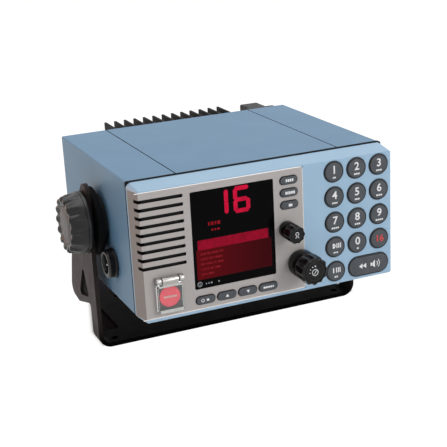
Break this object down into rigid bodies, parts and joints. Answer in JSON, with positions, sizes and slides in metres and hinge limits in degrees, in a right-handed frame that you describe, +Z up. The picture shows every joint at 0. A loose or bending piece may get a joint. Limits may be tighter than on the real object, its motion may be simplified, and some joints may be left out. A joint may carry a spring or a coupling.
{
  "type": "vhf marine radio",
  "caption": "Fixed-mount VHF marine radio: box cabinet with keypad, display, knobs and lidded distress button, tilting in a U bracket clamped by two side knobs.",
  "frame": {"origin": "on the underside of the bracket base, midway between its two front screw holes and straight below the tilt axis", "axes": "+X to the user's right, +Y to the back of the set, +Z up"},
  "size_m": [0.3064, 0.268, 0.1741],
  "materials": {
    "black_powder_coat": "satin powder coat",
    "friction_rubber": "matte",
    "black_nylon": "moulded satin",
    "plated_steel": "zinc plated",
    "blue_frame_paint": "fine satin paint",
    "blue_cover_paint": "fine satin paint",
    "silver_plate": "satin silver lacquer",
    "bare_aluminium": "mill finish",
    "black_anodised": "black anodised",
    "display_lens": "dark red tinted acrylic",
    "circuit_parts": "moulded",
    "circuit_board": "green solder mask",
    "speaker_mesh": "woven cloth",
    "nickel_socket": "nickel plated",
    "distress_silver": "satin",
    "distress_red": "moulded",
    "clear_lid": "clear polycarbonate",
    "slate_key": "moulded satin"
  },
  "bodies": {
    "bracket": {"bracket": "black_powder_coat", "friction_discs": "friction_rubber"},
    "radio": {"antenna_socket": "nickel_socket", "bottom_tray": "bare_aluminium", "centre_cover": "blue_cover_paint", "display_module": "circuit_parts", "display_window": "display_lens", "distress_bezel": "distress_silver", "distress_hinge_pin": "plated_steel", "earth_stud": "plated_steel", "face_plate": "silver_plate", "fixing_screws": "plated_steel", "front_board": "circuit_board", "front_bulkhead": "bare_aluminium", "front_frame": "blue_frame_paint", "front_gasket": "friction_rubber", "handset_socket": "black_nylon", "heat_sink": "black_anodised", "hubs": "black_nylon", "keypad_mat": "friction_rubber", "left_cover": "blue_cover_paint", "main_board": "circuit_board", "power_socket": "black_nylon", "rear_hood": "black_nylon", "right_cover": "blue_cover_paint", "rotary_controls": "circuit_parts", "speaker": "circuit_parts", "speaker_cloth": "speaker_mesh", "threaded_bushes": "plated_steel"},
    "left_clamp": {"left_clamp_knob": "black_nylon", "left_clamp_stud": "plated_steel"},
    "right_clamp": {"right_clamp_knob": "black_nylon", "right_clamp_stud": "plated_steel"},
    "volume_control": {"volume_knob": "black_nylon", "volume_spindle": "plated_steel"},
    "squelch_control": {"squelch_knob": "black_nylon", "squelch_spindle": "plated_steel"},
    "distress_lid": {"distress_cover": "clear_lid"},
    "distress_push": {"distress_button": "distress_red"},
    "key_0_body": {"key_0": "slate_key"},
    "key_1_body": {"key_1": "slate_key"},
    "key_16_body": {"key_16": "slate_key"},
    "key_2_body": {"key_2": "slate_key"},
    "key_3_body": {"key_3": "slate_key"},
    "key_4_body": {"key_4": "slate_key"},
    "key_5_body": {"key_5": "slate_key"},
    "key_6_body": {"key_6": "slate_key"},
    "key_7_body": {"key_7": "slate_key"},
    "key_8_body": {"key_8": "slate_key"},
    "key_9_body": {"key_9": "slate_key"},
    "key_power_body": {"key_power": "slate_key"},
    "key_watch_body": {"key_watch": "slate_key"},
    "key_wide_body": {"key_wide": "slate_key"},
    "side_key_1_body": {"side_key_1": "slate_key"},
    "side_key_2_body": {"side_key_2": "slate_key"},
    "side_key_3_body": {"side_key_3": "slate_key"},
    "soft_key_1_body": {"soft_key_1": "slate_key"},
    "soft_key_2_body": {"soft_key_2": "slate_key"},
    "soft_key_3_body": {"soft_key_3": "slate_key"},
    "soft_key_4_body": {"soft_key_4": "slate_key"}
  },
  "joints": [
    {"name": "tilt", "type": "hinge", "parent": "bracket", "child": "radio", "pos_m": [0, 0, 0.1197], "axis": [1, 0, 0], "range_deg": [-25, 25]},
    {"name": "left_clamp_turn", "type": "hinge", "parent": "radio", "child": "left_clamp", "pos_m": [-0.143, 0, 0.1197], "axis": [1, 0, 0], "range_deg": [0, 360]},
    {"name": "right_clamp_turn", "type": "hinge", "parent": "radio", "child": "right_clamp", "pos_m": [0.143, 0, 0.1197], "axis": [-1, 0, 0], "range_deg": [0, 360]},
    {"name": "volume_turn", "type": "hinge", "parent": "radio", "child": "volume_control", "pos_m": [0.0281, -0.1146, 0.0822], "axis": [0, 1, 0], "range_deg": [-140, 140]},
    {"name": "squelch_turn", "type": "hinge", "parent": "radio", "child": "squelch_control", "pos_m": [0.0158, -0.11095, 0.115], "axis": [0, 1, 0], "range_deg": [-140, 140]},
    {"name": "distress_lid_lift", "type": "hinge", "parent": "radio", "child": "distress_lid", "pos_m": [-0.0944, -0.104, 0.0914], "axis": [-1, 0, 0], "range_deg": [0, 110], "stiffness_Nm_per_rad": 0.002, "springref_deg": -14.32},
    {"name": "distress_button_press", "type": "slide", "parent": "radio", "child": "distress_push", "axis": [0, 1, 0], "range_m": [0, 0.001], "stiffness_N_per_m": 900, "springref_m": -0.0005},
    {"name": "key_0_press", "type": "slide", "parent": "radio", "child": "key_0_body", "axis": [0, 1, 0], "range_m": [0, 0.001], "stiffness_N_per_m": 600, "springref_m": -0.0005},
    {"name": "key_1_press", "type": "slide", "parent": "radio", "child": "key_1_body", "axis": [0, 1, 0], "range_m": [0, 0.001], "stiffness_N_per_m": 600, "springref_m": -0.0005},
    {"name": "key_16_press", "type": "slide", "parent": "radio", "child": "key_16_body", "axis": [0, 1, 0], "range_m": [0, 0.001], "stiffness_N_per_m": 600, "springref_m": -0.0005},
    {"name": "key_2_press", "type": "slide", "parent": "radio", "child": "key_2_body", "axis": [0, 1, 0], "range_m": [0, 0.001], "stiffness_N_per_m": 600, "springref_m": -0.0005},
    {"name": "key_3_press", "type": "slide", "parent": "radio", "child": "key_3_body", "axis": [0, 1, 0], "range_m": [0, 0.001], "stiffness_N_per_m": 600, "springref_m": -0.0005},
    {"name": "key_4_press", "type": "slide", "parent": "radio", "child": "key_4_body", "axis": [0, 1, 0], "range_m": [0, 0.001], "stiffness_N_per_m": 600, "springref_m": -0.0005},
    {"name": "key_5_press", "type": "slide", "parent": "radio", "child": "key_5_body", "axis": [0, 1, 0], "range_m": [0, 0.001], "stiffness_N_per_m": 600, "springref_m": -0.0005},
    {"name": "key_6_press", "type": "slide", "parent": "radio", "child": "key_6_body", "axis": [0, 1, 0], "range_m": [0, 0.001], "stiffness_N_per_m": 600, "springref_m": -0.0005},
    {"name": "key_7_press", "type": "slide", "parent": "radio", "child": "key_7_body", "axis": [0, 1, 0], "range_m": [0, 0.001], "stiffness_N_per_m": 600, "springref_m": -0.0005},
    {"name": "key_8_press", "type": "slide", "parent": "radio", "child": "key_8_body", "axis": [0, 1, 0], "range_m": [0, 0.001], "stiffness_N_per_m": 600, "springref_m": -0.0005},
    {"name": "key_9_press", "type": "slide", "parent": "radio", "child": "key_9_body", "axis": [0, 1, 0], "range_m": [0, 0.001], "stiffness_N_per_m": 600, "springref_m": -0.0005},
    {"name": "key_power_press", "type": "slide", "parent": "radio", "child": "key_power_body", "axis": [0, 1, 0], "range_m": [0, 0.001], "stiffness_N_per_m": 600, "springref_m": -0.0005},
    {"name": "key_watch_press", "type": "slide", "parent": "radio", "child": "key_watch_body", "axis": [0, 1, 0], "range_m": [0, 0.001], "stiffness_N_per_m": 600, "springref_m": -0.0005},
    {"name": "key_wide_press", "type": "slide", "parent": "radio", "child": "key_wide_body", "axis": [0, 1, 0], "range_m": [0, 0.001], "stiffness_N_per_m": 600, "springref_m": -0.0005},
    {"name": "side_key_1_press", "type": "slide", "parent": "radio", "child": "side_key_1_body", "axis": [0, 1, 0], "range_m": [0, 0.001], "stiffness_N_per_m": 600, "springref_m": -0.0005},
    {"name": "side_key_2_press", "type": "slide", "parent": "radio", "child": "side_key_2_body", "axis": [0, 1, 0], "range_m": [0, 0.001], "stiffness_N_per_m": 600, "springref_m": -0.0005},
    {"name": "side_key_3_press", "type": "slide", "parent": "radio", "child": "side_key_3_body", "axis": [0, 1, 0], "range_m": [0, 0.001], "stiffness_N_per_m": 600, "springref_m": -0.0005},
    {"name": "soft_key_1_press", "type": "slide", "parent": "radio", "child": "soft_key_1_body", "axis": [0, 1, 0], "range_m": [0, 0.001], "stiffness_N_per_m": 600, "springref_m": -0.0005},
    {"name": "soft_key_2_press", "type": "slide", "parent": "radio", "child": "soft_key_2_body", "axis": [0, 1, 0], "range_m": [0, 0.001], "stiffness_N_per_m": 600, "springref_m": -0.0005},
    {"name": "soft_key_3_press", "type": "slide", "parent": "radio", "child": "soft_key_3_body", "axis": [0, 1, 0], "range_m": [0, 0.001], "stiffness_N_per_m": 600, "springref_m": -0.0005},
    {"name": "soft_key_4_press", "type": "slide", "parent": "radio", "child": "soft_key_4_body", "axis": [0, 1, 0], "range_m": [0, 0.001], "stiffness_N_per_m": 600, "springref_m": -0.0005}
  ]
}
